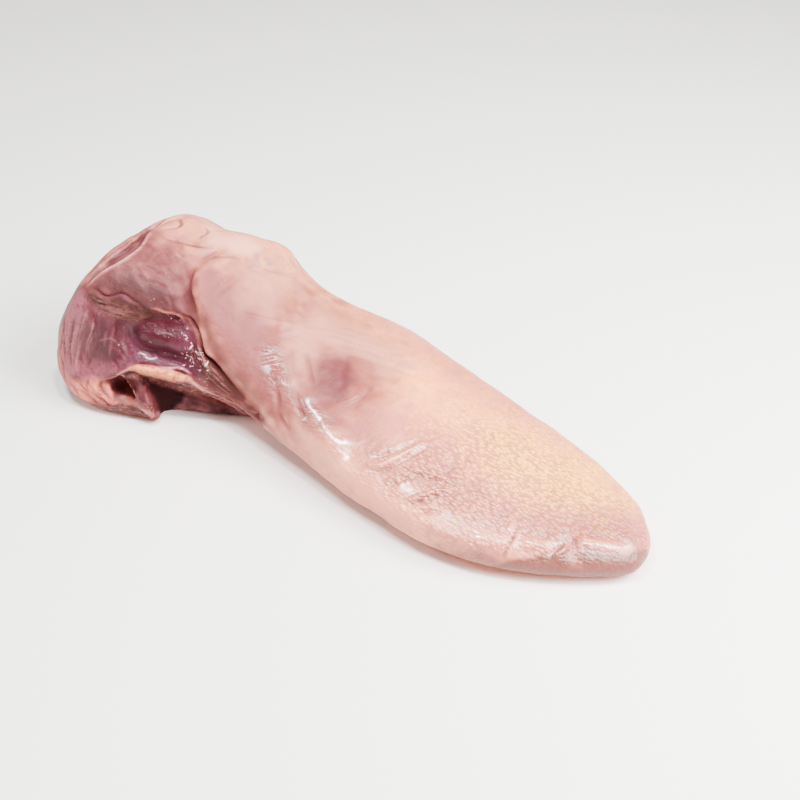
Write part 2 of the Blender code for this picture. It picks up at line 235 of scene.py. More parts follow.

# Strokes seen from the camera: kind, half width and height in millimetres, the paint that it
# leaves with its strength, then pixels. A furrow is pressed in and a ridge is raised, and each
# fades out towards its ends. Dark paints in furrows are painted shade, and pale paints on some
# ridges are painted highlights.
VIEW_STROKES = (
    # The edge of the back over the root
    ("ridge", 2.2, 0.6, None, 0, ((200, 264), (195, 274), (192, 283), (193, 293), (197, 306),
     (202, 320))),
    ("furrow", 2.6, 0.8, "gap", 0.45, ((194, 271), (190, 280), (188, 289), (190, 299), (194, 311),
     (198, 322))),
    ("furrow", 1.5, 0.5, "shade", 0.6, ((207, 257), (226, 257), (243, 259))),
    ("furrow", 1.7, 0.8, "shade", 0.9, ((200, 260), (209, 254), (218, 251))),
    # The edge over the cut face
    ("furrow", 2.0, 1.8, "gap", 1.0, ((88, 289), (95, 290), (100, 294), (106, 297), (113, 296),
     (120, 294), (126, 296), (131, 300), (137, 303), (143, 308), (149, 310))),
    # The crease under the edge of the back, with painted shade
    ("furrow", 1.8, 2.8, "dark", 1.0, ((178, 314), (186, 317), (191, 320), (195, 326), (198, 332),
     (200, 340), (201, 348), (205, 356), (213, 363), (223, 375), (233, 387), (245, 401))),
    ("ridge", 1.0, 0.9, "bead", 1.0, ((149, 308), (157, 309), (164, 312), (172, 313), (178, 315),
     (182, 318), (184, 322))),
    ("ridge", 1.5, 0.8, "strip", 0.6, ((186, 318), (193, 322), (198, 330), (202, 341))),
    # The rim of the end, with its oval fold
    ("ridge", 1.2, 1.1, "thread", 0.9, ((156, 227), (150, 233), (146, 240), (140, 248),
     (133, 254), (125, 260), (118, 264), (109, 269), (100, 275), (92, 282), (85, 288))),
    ("furrow", 1.8, 1.9, "gap", 1.0, ((148, 230), (142, 239), (137, 246), (131, 252), (124, 256),
     (117, 260), (109, 264), (101, 270), (93, 278), (86, 285))),
    ("furrow", 1.2, 1.0, "gap", 0.7, ((132, 242), (124, 249), (116, 255), (108, 259))),
    ("furrow", 1.3, 1.2, "gap", 0.9, ((152, 230), (160, 222), (167, 217), (174, 216))),
    ("furrow", 1.5, 1.5, "gap", 1.0, ((153, 231), (161, 226), (169, 221), (175, 219), (180, 220),
     (181, 224), (177, 227), (168, 228), (161, 229))),
    # Lines of the root's smooth top
    ("furrow", 1.4, 0.9, "gap", 0.8, ((160, 233), (165, 238), (175, 240), (184, 243), (193, 245),
     (205, 247), (216, 248))),
    ("furrow", 1.3, 0.6, "shade", 0.9, ((204, 226), (208, 231), (203, 236), (196, 239))),
    ("furrow", 1.8, 0.9, "gap", 0.3, ((170, 234), (180, 246), (188, 254), (197, 260))),
    ("ridge", 2.2, 0.7, None, 0, ((164, 238), (173, 249), (181, 257), (190, 264))),
    ("furrow", 2.2, 1.1, "gap", 0.6, ((160, 243), (166, 250), (171, 256), (177, 260),
     (184, 264))),
    ("furrow", 2.2, 0.9, "gap", 0.4, ((140, 264), (152, 270), (164, 278), (176, 288))),
    ("furrow", 2.0, 0.9, "gap", 0.4, ((146, 281), (156, 284), (167, 289))),
    ("furrow", 2.0, 0.7, "gap", 0.4, ((118, 267), (125, 267), (132, 269))),
    ("furrow", 1.6, 0.7, "gap", 0.5, ((167, 294), (171, 302), (173, 311))),
    ("furrow", 1.6, 0.7, "gap", 0.5, ((177, 296), (182, 305), (186, 314))),
    ("ridge", 2.8, 0.6, None, 0, ((146, 260), (158, 266), (172, 274), (184, 284))),
    # The hump
    ("furrow", 1.3, 1.5, "gap", 0.45, ((261, 267), (270, 271), (277, 272), (284, 273),
     (295, 273))),
    ("ridge", 2.6, 0.9, None, 0, ((268, 265), (276, 267), (285, 268), (293, 268))),
    # Furrows with painted shade, lavender
    ("furrow", 3.4, 0.4, "lavender", 0.9, ((266, 255), (269, 260), (273, 265))),
    ("furrow", 3.2, 0.5, "lavender", 0.8, ((289, 257), (293, 263), (297, 268))),
    ("furrow", 2.2, 0.5, "shade", 0.35, ((246, 252), (248, 259), (249, 265), (254, 267))),
    ("furrow", 3.2, 0.8, "shade", 0.3, ((216, 298), (222, 290), (229, 284), (236, 278),
     (246, 270))),
    ("ridge", 2.2, 0.6, None, 0, ((216, 288), (222, 283), (230, 277), (238, 271))),
    ("furrow", 3.4, 0.5, "shade", 0.15, ((222, 304), (234, 294), (250, 284))),
    ("ridge", 2.2, 0.7, None, 0, ((238, 312), (253, 316), (267, 319), (289, 323))),
    ("furrow", 2.6, 0.6, "shade", 0.1, ((236, 308), (256, 314), (276, 318), (300, 322))),
    # More furrows with painted shade, lavender
    ("furrow", 2.8, 0.5, "lavender", 0.6, ((279, 331), (286, 328), (294, 326))),
    ("furrow", 2.8, 0.5, "lavender", 0.5, ((280, 338), (290, 336), (301, 334))),
    ("furrow", 3.4, 0.7, "lavender", 0.5, ((290, 276), (298, 288), (303, 304))),
    ("furrow", 3.4, 0.6, "lavender", 0.4, ((302, 296), (312, 306), (326, 314))),
    # Folds of the shoulder
    ("furrow", 2.2, 1.3, "shade", 0.8, ((304, 350), (307, 360), (309, 370), (311, 380),
     (314, 392))),
    # Folds with painted shade, rose
    ("furrow", 3.0, 0.9, "rose", 0.7, ((292, 390), (297, 400), (300, 410), (303, 420))),
    ("furrow", 2.6, 1.0, "rose", 0.9, ((276, 386), (277, 398), (278, 411), (284, 424),
     (292, 434))),
    ("ridge", 4.2, 0.8, None, 0, ((294, 346), (298, 360), (301, 374), (304, 388))),
    ("ridge", 5.5, 0.4, None, 0, ((302, 394), (309, 408), (320, 425), (332, 441), (348, 458))),
    ("ridge", 1.2, 0.45, None, 0, ((260, 359), (268, 357), (279, 355))),
    ("furrow", 1.1, 0.4, "rose", 0.6, ((258, 364), (268, 361), (278, 358))),
    ("ridge", 1.2, 0.4, None, 0, ((252, 347), (262, 349), (273, 350))),
    ("ridge", 1.3, 0.7, None, 0, ((269, 365), (276, 364), (284, 363))),
    ("furrow", 1.3, 0.6, "rose", 0.5, ((268, 369), (276, 369), (284, 368))),
    ("ridge", 2.8, 0.9, None, 0, ((270, 373), (277, 376), (281, 381), (281, 388))),
    # The reddened hollow of the back, its red deepened with painted shade
    ("furrow", 9.0, 0.9, "rose", 1.0, ((324, 352), (334, 370), (332, 392), (320, 412))),
    ("furrow", 3.6, 0.5, "blush", 0.8, ((327, 362), (330, 374), (332, 388))),
    ("furrow", 3.4, 0.7, "blush", 1.0, ((345, 358), (343, 370), (342, 380), (341, 392))),
    ("furrow", 4.0, 0.3, "blush", 0.4, ((318, 398), (326, 402), (334, 398))),
    ("furrow", 2.2, 0.4, "shade", 0.4, ((318, 354), (328, 353), (338, 351))),
    ("ridge", 1.6, 0.8, None, 0, ((336, 403), (345, 402), (353, 399), (361, 394))),
    ("furrow", 1.8, 0.7, "shade", 0.5, ((348, 404), (359, 398), (368, 390), (374, 382))),
    # Lines along the back
    ("furrow", 3.2, 0.5, None, 0, ((320, 340), (352, 344), (384, 352), (420, 352))),
    ("furrow", 3.4, 0.5, None, 0, ((330, 352), (360, 356), (388, 364))),
    ("furrow", 3.4, 0.5, None, 0, ((310, 300), (330, 312), (356, 330), (380, 348))),
    ("furrow", 4.0, 0.6, None, 0, ((348, 412), (360, 400), (376, 392), (394, 388))),
    ("furrow", 1.6, 1.5, "shade", 0.8, ((366, 471), (380, 471), (392, 466), (410, 457),
     (434, 444))),
    # A ridge with a painted highlight along its top
    ("ridge", 1.7, 1.9, "pale_near", 0.6, ((364, 464), (377, 466), (388, 462), (404, 454),
     (428, 441))),
    ("furrow", 2.0, 0.7, "shade", 0.3, ((370, 459), (390, 453), (408, 446), (424, 438))),
    ("ridge", 1.8, 0.6, None, 0, ((426, 443), (440, 440), (458, 438))),
    ("furrow", 1.6, 1.2, "shade", 0.6, ((400, 507), (418, 502), (436, 496), (456, 493))),
    ("ridge", 1.6, 1.3, None, 0, ((400, 502), (418, 497), (436, 491), (454, 489))),
    ("furrow", 1.6, 1.2, "shade", 0.55, ((398, 467), (418, 475), (438, 481), (464, 487))),
    ("ridge", 1.6, 1.4, None, 0, ((398, 462), (418, 470), (438, 476), (460, 481))),
    ("ridge", 1.6, 1.0, None, 0, ((382, 483), (400, 475), (420, 470))),
    ("furrow", 1.6, 0.8, "shade", 0.4, ((384, 488), (402, 480), (420, 476))),
    ("ridge", 1.6, 1.0, None, 0, ((404, 513), (422, 508), (440, 506))),
    ("furrow", 1.8, 0.9, "shade", 0.4, ((408, 518), (424, 514), (442, 512))),
    # The near shoulder towards the tip
    ("ridge", 5.0, 1.2, None, 0, ((392, 502), (418, 519), (444, 532), (470, 541), (496, 547),
     (524, 549))),
    # A crease with painted shade, blush
    ("furrow", 1.6, 1.7, "blush", 0.9, ((501, 560), (507, 550), (512, 541), (516, 532))),
    # A ridge with a painted highlight beside the crease
    ("ridge", 1.3, 1.2, "pale_near", 0.8, ((504, 558), (510, 548), (516, 538), (518, 530))),
    ("furrow", 1.4, 1.0, "blush", 0.5, ((547, 558), (554, 552), (561, 545), (565, 540))),
    ("ridge", 2.2, 1.7, None, 0, ((552, 558), (558, 554), (564, 549), (568, 545))),
    ("furrow", 4.6, 1.0, "rose", 0.9, ((570, 528), (571, 541), (573, 552), (577, 565))),
    # Ridges with painted highlights along the bands of glints
    ("ridge", 4.4, 1.2, "pale_near", 0.5, ((474, 533), (494, 538), (512, 541))),
    ("ridge", 4.4, 1.2, "pale_near", 0.5, ((518, 541), (536, 544), (556, 545))),
    ("ridge", 4.2, 1.2, "pale_near", 0.5, ((576, 541), (600, 545), (628, 549))),
    ("furrow", 2.0, 0.8, "blush", 0.5, ((632, 548), (633, 556), (631, 562))),
    ("furrow", 3.4, 0.8, None, 0, ((630, 500), (638, 520), (640, 536), (638, 552))),
    # A painted glint
    ("ridge", 1.5, 0.7, "glint", 0.7, ((551, 504), (552, 505), (553, 505))),
    ("furrow", 1.6, 0.6, "blush", 0.9, ((551, 490), (552, 491), (553, 491))),
    # The left lobe
    ("furrow", 3.0, 1.1, "gap", 0.5, ((125, 328), (126, 340), (128, 352), (127, 362))),
    ("furrow", 1.3, 0.5, "gap", 0.5, ((106, 346), (116, 349), (124, 356), (127, 364))),
    ("ridge", 0.8, 0.3, "thread", 0.22, ((98, 342), (104, 339), (112, 339), (118, 344))),
    ("furrow", 1.5, 1.0, "gap", 0.9, ((59, 352), (62, 362), (64, 374), (66, 380))),
    ("furrow", 1.6, 0.6, "dark", 0.5, ((112, 358), (116, 364), (119, 370))),
    ("furrow", 1.6, 0.6, "dark", 0.5, ((92, 310), (94, 318), (93, 326))),
    # The cut face, with threads of pale tissue and a painted glint
    ("ridge", 0.65, 0.6, "glint", 0.85, ((138, 353), (143, 354), (147, 358), (152, 359),
     (158, 357))),
    ("ridge", 0.9, 0.6, "thread", 0.9, ((160, 367), (170, 368), (180, 368), (186, 371),
     (193, 375))),
    ("furrow", 1.2, 0.9, "dark", 0.8, ((172, 369), (180, 371), (188, 375))),
    ("furrow", 2.0, 0.7, "blood", 1.0, ((173, 317), (176, 318), (180, 320))),
    ("ridge", 2.0, 0.7, "lobe", 0.5, ((127, 338), (129, 346), (131, 354))),
    # The strip of fat and the membrane over it
    ("ridge", 1.1, 0.9, "thread", 0.8, ((103, 380), (112, 377), (120, 373), (128, 369),
     (132, 366))),
    ("furrow", 1.6, 1.4, "blood", 1.0, ((106, 383), (116, 379), (124, 375), (132, 373),
     (142, 376), (152, 380))),
    ("furrow", 1.3, 1.1, "dark", 0.7, ((134, 363), (144, 363), (154, 364), (160, 366))),
    ("ridge", 2.0, 0.9, None, 0, ((130, 368), (142, 369), (154, 371), (168, 374), (186, 379))),
    ("furrow", 1.4, 0.9, "blood", 0.7, ((152, 378), (164, 382), (176, 384), (186, 384))),
    ("furrow", 1.4, 0.6, "strip", 0.6, ((138, 371), (148, 373), (158, 374), (168, 377))),
    # The pink strip
    ("ridge", 1.3, 0.8, "thread", 0.8, ((186, 380), (192, 382), (201, 388), (212, 393),
     (226, 399), (240, 406))),
    ("furrow", 1.8, 1.1, "dark", 0.6, ((192, 393), (208, 398), (224, 404), (242, 411))),
    # The foot and the flap
    ("furrow", 1.6, 1.2, "gap", 0.7, ((96, 388), (100, 396), (106, 403), (114, 409))),
    ("furrow", 1.6, 0.8, "gap", 0.5, ((84, 392), (90, 398), (98, 405))),
    # Painted shade along the bottom edge of the foot
    ("furrow", 1.8, 1.0, "dark", 0.6, ((104, 410), (116, 415), (130, 418), (144, 418))),
    ("furrow", 1.5, 1.2, "gap", 0.6, ((88, 378), (86, 386), (88, 394))),
    ("furrow", 2.6, 0.9, "tan", 0.9, ((101, 381), (102, 388), (105, 396))),
    ("ridge", 2.2, 0.9, "pale_foot", 0.9, ((92, 382), (94, 388), (99, 394), (104, 400))),
    ("ridge", 1.8, 0.8, "pale_foot", 0.7, ((107, 383), (109, 390), (113, 396))),
    # A slot with painted shade
    ("furrow", 1.3, 1.4, "cavity", 0.9, ((134, 384), (135, 394), (136, 402))),
    ("ridge", 1.4, 0.8, "thread", 0.4, ((119, 398), (126, 396), (133, 399))),
    ("furrow", 1.4, 1.0, "gap", 0.8, ((126, 408), (136, 410), (146, 411))),
    ("ridge", 1.8, 0.7, "thread", 0.6, ((137, 406), (145, 410), (151, 414), (154, 417))),
    # Painted shade along the bottom edge of the flap
    ("furrow", 1.8, 1.0, "dark", 0.8, ((126, 417), (136, 419), (146, 420))),
)

# Bundles of strands seen from the camera, furrows and ridges in turn: how many, the least and
# the largest half width and the height in millimetres, the paints of furrows and ridges with
# their strengths, then the two lines of pixels between which they run. The dark paints of the
# furrows are painted shade between the strands.
VIEW_BUNDLES = (
    # The left lobe
    (17, 0.9, 1.7, 1.0, "gap", 0.9, "thread", 0.5, ((72, 300), (64, 316), (60, 336), (59, 356),
     (64, 377)), ((102, 312), (99, 328), (94, 342), (88, 358), (82, 378))),
    (5, 1.0, 1.8, 0.3, "gap", 0.3, "thread", 0.15, ((104, 316), (100, 332), (98, 350), (96, 368)),
     ((122, 322), (120, 336), (118, 352), (112, 370))),
    # The membrane
    (17, 0.6, 1.1, 0.7, "gap", 0.7, "pale_membrane", 0.9, ((86, 293), (98, 300), (112, 303),
     (126, 307), (142, 312)), ((94, 306), (106, 313), (120, 319), (134, 321), (154, 316))),
    # The tan corner between the cut face and the back
    (7, 0.7, 1.1, 0.6, "dark", 0.6, "thread", 0.35, ((201, 350), (208, 361), (219, 372),
     (231, 386), (243, 400)), ((200, 364), (206, 377), (216, 388), (228, 396), (243, 403))),
    # The pink strip
    (6, 0.8, 1.2, 0.5, "gap", 0.7, "pale_strip", 0.8, ((190, 381), (208, 386), (226, 394),
     (244, 403), (260, 413)), ((186, 388), (208, 395), (226, 402), (244, 410), (260, 418))),
    # The smooth top of the root
    (9, 1.6, 2.8, 0.4, "gap", 0.22, "thread", 0.12, ((112, 266), (122, 275), (132, 286),
     (144, 300)), ((180, 244), (185, 258), (187, 276), (189, 300))),
    # The far half of the back, from the hump
    (10, 1.6, 3.0, 0.4, "shade", 0.2, None, 0, ((292, 316), (330, 322), (380, 338), (430, 362)),
     ((300, 346), (340, 354), (390, 370), (440, 387))),
    # The rim of the end
    (7, 0.7, 1.1, 0.6, "gap", 0.7, "thread", 0.4, ((78, 290), (92, 270), (108, 256), (124, 245),
     (140, 233), (156, 222)), ((84, 289), (98, 273), (114, 260), (128, 251), (142, 238),
     (154, 227))),
    # The recess below the strip
    (8, 1.0, 1.8, 0.5, "dark", 0.35, "gap", 0.15, ((164, 390), (186, 395), (214, 405),
     (244, 414)), ((164, 410), (186, 414), (214, 418), (246, 421))),
    # The foot
    (10, 0.9, 1.7, 0.9, "gap", 0.7, "pale_foot", 0.6, ((70, 380), (78, 390), (88, 399),
     (100, 406)), ((106, 381), (108, 388), (112, 397), (122, 407))),
    (6, 0.8, 1.3, 0.7, "gap", 0.8, "thread", 0.25, ((84, 404), (100, 408), (116, 411),
     (134, 413)), ((92, 409), (104, 413), (120, 417), (140, 419))),
    # The flap
    (3, 0.9, 1.4, 0.4, "gap", 0.5, "thread", 0.15, ((138, 384), (140, 394), (143, 406)),
     ((147, 385), (150, 396), (154, 410))),
    # The cut face
    (9, 0.9, 1.8, 0.15, "blood", 0.35, "lobe", 0.3, ((134, 330), (150, 328), (168, 330),
     (186, 340)), ((132, 356), (150, 358), (170, 360), (194, 368))),
    (8, 0.6, 0.9, 0.7, "dark", 0.7, "thread", 0.5, ((184, 340), (189, 351), (193, 362),
     (198, 375)), ((195, 334), (200, 348), (206, 362), (214, 376))),
    # The near wall of the back
    (6, 2.4, 4.0, 0.4, "shade", 0.12, None, 0, ((300, 434), (340, 480), (390, 522), (450, 550)),
     ((316, 478), (362, 520), (410, 550), (470, 566))),
)

# Areas seen from the camera: mask, strength, feather in pixels, then the outline
VIEW_AREAS = (
    ("hump", 1.0, 16, ((172, 212), (200, 220), (230, 232), (262, 244), (290, 250), (312, 268),
     (322, 290), (340, 306), (320, 318), (286, 314), (256, 300), (236, 280), (214, 256),
     (190, 240))),
    # Painted sheen on lit patches of the hump and along the near shoulder
    ("painted_sheen", 0.75, 6, ((206, 226), (226, 231), (250, 238), (262, 246), (250, 256), (226, 252),
     (208, 243))),
    ("painted_sheen", 0.36, 16, ((236, 270), (262, 264), (288, 274), (286, 298), (274, 322), (260, 312),
     (242, 298))),
    ("painted_sheen", 0.45, 14, ((284, 322), (320, 312), (350, 330), (388, 346), (416, 366), (388, 374),
     (350, 350), (324, 350), (308, 366), (298, 388), (286, 360))),
    ("painted_sheen", 0.55, 7, ((294, 418), (310, 434), (332, 455), (358, 477), (392, 497), (430, 513),
     (470, 525), (500, 533), (492, 540), (440, 528), (392, 510), (350, 487), (318, 459),
     (296, 438))),
    # Painted shade on the near wall of the shoulder
    ("wall_shade", 0.75, 7, ((400, 545), (440, 546), (480, 552), (510, 560), (510, 580), (440, 570),
     (400, 556))),
    ("plane", 1.0, 5, ((50, 340), (58, 302), (80, 284), (92, 272), (106, 260), (122, 252),
     (140, 250), (160, 254), (176, 264), (186, 276), (190, 290), (193, 308), (199, 330),
     (205, 352), (227, 375), (251, 401), (268, 420), (250, 430), (150, 430), (80, 420),
     (50, 384))),
    ("plane", 1.0, 12, ((78, 290), (94, 268), (110, 250), (128, 236), (150, 224), (158, 232),
     (168, 242), (180, 254), (192, 262), (190, 274), (187, 288), (191, 308), (188, 318),
     (162, 310), (140, 304), (120, 296), (100, 292))),
    # Painted shade on the plane under the rim and towards the crease
    ("plane_shade", 1.0, 12, ((96, 290), (104, 276), (124, 272), (146, 276), (164, 288),
     (178, 300), (188, 318), (176, 316), (150, 308), (128, 300), (112, 296))),
    ("plane_shade", 0.7, 4, ((184, 284), (189, 290), (194, 302), (198, 318), (192, 322),
     (186, 312), (182, 298))),
    ("plane_shade", 0.8, 3, ((80, 289), (96, 271), (112, 256), (128, 246), (142, 236), (148, 232),
     (143, 241), (134, 251), (120, 260), (104, 269), (90, 283))),
    ("lobe", 1.0, 3, ((54, 336), (60, 310), (70, 294), (84, 290), (100, 298), (118, 312),
     (130, 326), (130, 350), (131, 367), (118, 376), (98, 383), (80, 382), (66, 378), (54, 356))),
    # Painted rim light: the pale left edge of the lobe and the foot
    ("pale_lobe", 0.85, 5, ((50, 330), (56, 312), (68, 294), (82, 288), (86, 304), (80, 330),
     (76, 352), (80, 376), (62, 382), (50, 360))),
    ("pale_foot", 0.3, 3, ((55, 330), (61, 326), (62, 350), (66, 370), (74, 382), (62, 380),
     (54, 360))),
    ("deep_lobe_and_shade", 1.0, 7, ((96, 318), (118, 322), (130, 332), (128, 354), (118, 362), (104, 364),
     (94, 354), (92, 338))),
    ("pale_lobe", 0.35, 6, ((74, 360), (96, 362), (120, 364), (118, 376), (98, 383), (78, 380))),
    ("cut", 1.0, 3.0, ((124, 322), (138, 322), (152, 317), (168, 315), (184, 320), (196, 332),
     (199, 350), (207, 366), (204, 381), (190, 375), (174, 369), (160, 366), (136, 364),
     (125, 364))),
    ("blood", 0.85, 8, ((136, 320), (156, 314), (174, 316), (186, 324), (184, 340), (166, 347),
     (146, 344), (132, 332))),
    ("membrane", 0.9, 4.5, ((86, 289), (98, 293), (112, 297), (122, 298), (134, 304), (146, 310),
     (156, 314), (152, 320), (138, 322), (122, 321), (106, 314), (92, 306))),
    # Painted shade under the crease over the cut face
    ("deep_lobe_and_shade", 1.0, 2.5, ((96, 292), (106, 297), (114, 294), (121, 291), (130, 296),
     (142, 306), (136, 309), (126, 305), (114, 301), (102, 298))),
    ("tan", 1.0, 3.0, ((199, 346), (207, 358), (221, 371), (234, 386), (250, 402), (238, 399),
     (222, 391), (208, 381), (201, 368))),
    ("tan", 0.35, 3.0, ((202, 314), (207, 316), (211, 328), (212, 340), (207, 342), (204, 330))),
    ("strip", 1.0, 3.0, ((104, 384), (118, 379), (132, 374), (150, 378), (170, 383), (190, 382),
     (208, 388), (228, 396), (250, 406), (268, 418), (262, 421), (240, 411), (218, 402),
     (196, 394), (170, 388), (148, 384), (130, 378), (114, 382))),
    ("fat", 1.0, 1.6, ((129, 368), (137, 365), (153, 367), (160, 368), (173, 370), (184, 375),
     (191, 377), (192, 380), (178, 381), (164, 378), (150, 375), (137, 372), (130, 371))),
    ("foot", 1.0, 5, ((58, 374), (74, 379), (92, 380), (106, 381), (112, 388), (114, 397),
     (120, 404), (110, 408), (96, 405), (80, 400), (64, 390))),
    ("fat", 0.7, 3, ((90, 384), (95, 380), (99, 384), (100, 392), (106, 400), (100, 401),
     (92, 392))),
    # Painted shade on the undercut lower foot, in the strip's dark colour and rose
    ("strip", 1.0, 3, ((66, 396), (82, 402), (98, 404), (114, 404), (136, 403), (152, 404),
     (158, 420), (120, 424), (92, 416), (70, 404))),
    ("rose", 0.8, 3, ((76, 399), (96, 402), (118, 403), (136, 402), (150, 408), (150, 416),
     (118, 412), (92, 408))),
    # Painted shade in the slot beside the flap
    ("deep_lobe_and_shade", 1.0, 2.0, ((135, 381), (147, 382), (151, 392), (154, 402), (146, 404),
     (138, 400))),
    ("lobe", 0.9, 2.5, ((138, 401), (150, 401), (157, 412), (158, 419), (146, 418), (138, 410))),
    ("pale_strip", 0.9, 2.5, ((120, 395), (127, 393), (133, 396), (137, 401), (140, 406),
     (126, 405))),
    # Dark red, as painted shade, in the cave and the slot
    ("blood", 1.0, 2.5, ((118, 389), (126, 388), (134, 391), (137, 398), (130, 396), (119, 395))),
    ("blood", 1.0, 2.0, ((145, 385), (152, 386), (160, 400), (161, 412), (155, 412), (150, 402),
     (146, 392))),
    ("blood", 1.0, 2.5, ((110, 392), (112, 383), (118, 379), (128, 377), (137, 379), (146, 381),
     (146, 386), (139, 386), (138, 394), (134, 392), (128, 389), (119, 392), (115, 399))),
    # Painted shade in the cave and the slot beside the flap
    ("cavity", 0.4, 2.5, ((112, 390), (113, 384), (120, 380), (134, 380), (136, 392), (128, 389),
     (118, 392))),
    ("cavity", 1.0, 3.0, ((148, 382), (156, 382), (168, 386), (184, 392), (182, 402), (172, 411),
     (160, 414), (157, 404), (150, 392))),
    # Painted shade in the recess below the strip and under the foot
    ("under_shade", 1.0, 3.5, ((144, 384), (160, 388), (190, 395), (220, 405), (252, 415), (264, 422),
     (240, 424), (200, 422), (160, 424), (152, 408))),
    ("under_shade", 0.8, 4, ((74, 402), (100, 412), (126, 416), (152, 417), (156, 425), (110, 424),
     (80, 414))),
    ("cream", 1.0, 26, ((300, 280), (350, 310), (420, 350), (500, 400), (570, 450), (620, 500),
     (610, 530), (540, 520), (470, 470), (400, 400), (330, 340), (280, 310))),
    ("gold", 1.0, 22, ((490, 420), (550, 440), (600, 465), (628, 505), (600, 512), (540, 500),
     (490, 465))),
    # Painted shade, mauve, over the left part of the back and the near middle
    ("mauve_shade", 0.95, 26, ((198, 250), (242, 262), (292, 282), (332, 302), (380, 330), (410, 352),
     (396, 384), (372, 404), (344, 432), (300, 440), (250, 404), (206, 350), (186, 300))),
    ("mauve_shade", 0.3, 16, ((330, 296), (390, 318), (450, 348), (520, 396), (560, 424), (520, 420),
     (450, 386), (380, 350))),
    ("mauve_shade", 0.5, 14, ((340, 396), (372, 392), (384, 420), (384, 446), (362, 460), (344, 444))),
    # Painted sheen on the near shoulder
    ("pale_near", 0.8, 8, ((338, 452), (356, 468), (400, 498), (432, 518), (420, 530), (380, 512),
     (350, 490))),
    # The reddened hollow, its red deepened with painted shade
    ("blush", 0.85, 6, ((318, 358), (350, 354), (355, 384), (338, 402), (318, 394))),
    ("rose", 0.8, 10, ((316, 356), (348, 352), (356, 378), (346, 400), (330, 420), (308, 404))),
    # Painted shade, rose, along the left of the back by the fold
    ("rose", 0.95, 12, ((194, 268), (214, 264), (226, 286), (252, 300), (266, 326), (280, 368),
     (288, 410), (262, 404), (236, 376), (214, 344), (198, 310))),
    # Painted shade along the low near wall, towards the tip and along the bottom
    ("wall_shade", 1.0, 4, ((480, 566), (505, 560), (540, 556), (566, 555), (574, 550), (600, 552),
     (628, 552), (640, 549), (656, 556), (650, 590), (480, 590), (440, 570))),
    ("wall_shade", 0.7, 5, ((262, 420), (300, 470), (340, 512), (390, 546), (440, 566), (440, 590),
     (380, 570), (320, 520), (270, 460), (240, 410))),
    # The red dent near the tip, deepened with painted shade
    ("rose", 0.9, 3, ((566, 530), (573, 530), (577, 548), (582, 568), (570, 568))),
    ("bead", 0.35, 3, ((566, 530), (573, 530), (577, 548), (582, 568), (570, 568))),
    ("rose", 0.6, 12, ((575, 506), (620, 506), (640, 520), (640, 550), (590, 560), (560, 552),
     (556, 530))),
    ("rose", 0.5, 16, ((530, 505), (560, 505), (590, 520), (590, 545), (545, 545), (520, 530))),
    ("near", 1.0, 14, ((232, 372), (262, 410), (300, 460), (360, 512), (440, 556), (540, 576),
     (650, 575), (656, 520), (640, 520), (600, 556), (520, 556), (440, 536), (380, 500),
     (320, 440), (262, 372))),
    ("papillae", 1.0, 34, ((380, 480), (420, 430), (480, 410), (560, 440), (625, 500), (640, 545),
     (560, 556), (480, 546), (420, 520))),
    ("shine", 1.0, 7, ((262, 344), (282, 341), (288, 372), (294, 402), (314, 404), (346, 440),
     (420, 440), (470, 480), (540, 528), (628, 528), (636, 556), (570, 562), (480, 552),
     (410, 524), (350, 476), (300, 420), (262, 384))),
    ("gloss", 1.0, 4, ((303, 400), (312, 400), (324, 412), (338, 430), (352, 446), (350, 462),
     (334, 458), (316, 440), (303, 420))),
    ("gloss", 1.0, 3, ((476, 524), (502, 526), (513, 528), (508, 540), (502, 550), (486, 547),
     (470, 538))),
    ("gloss", 1.0, 3, ((520, 528), (544, 530), (560, 532), (566, 536), (562, 556), (540, 553),
     (512, 551))),
    ("gloss", 1.0, 3, ((580, 530), (604, 531), (630, 532), (632, 549), (606, 552), (583, 551))),
    ("gloss", 0.2, 5, ((262, 348), (277, 345), (287, 372), (285, 388), (270, 380), (264, 362))),
    ("gloss", 0.7, 6, ((360, 458), (392, 450), (424, 438), (460, 474), (456, 500), (404, 512),
     (380, 490))),
    # Painted glints scattered over the wet cut, densest by its right edge
    ("glint_specks", 1.0, 6, ((180, 350), (190, 340), (199, 346), (206, 358), (215, 376), (210, 385),
     (196, 377), (182, 368))),
    ("glint_specks", 0.2, 4, ((112, 340), (124, 326), (142, 318), (144, 302), (158, 297), (174, 305),
     (186, 316), (196, 330), (200, 350), (180, 366), (160, 360), (132, 342), (128, 362),
     (116, 354))),
    ("wet", 1.0, 6, ((116, 326), (150, 315), (184, 320), (200, 342), (214, 372), (226, 392),
     (196, 382), (160, 368), (130, 364))),
)

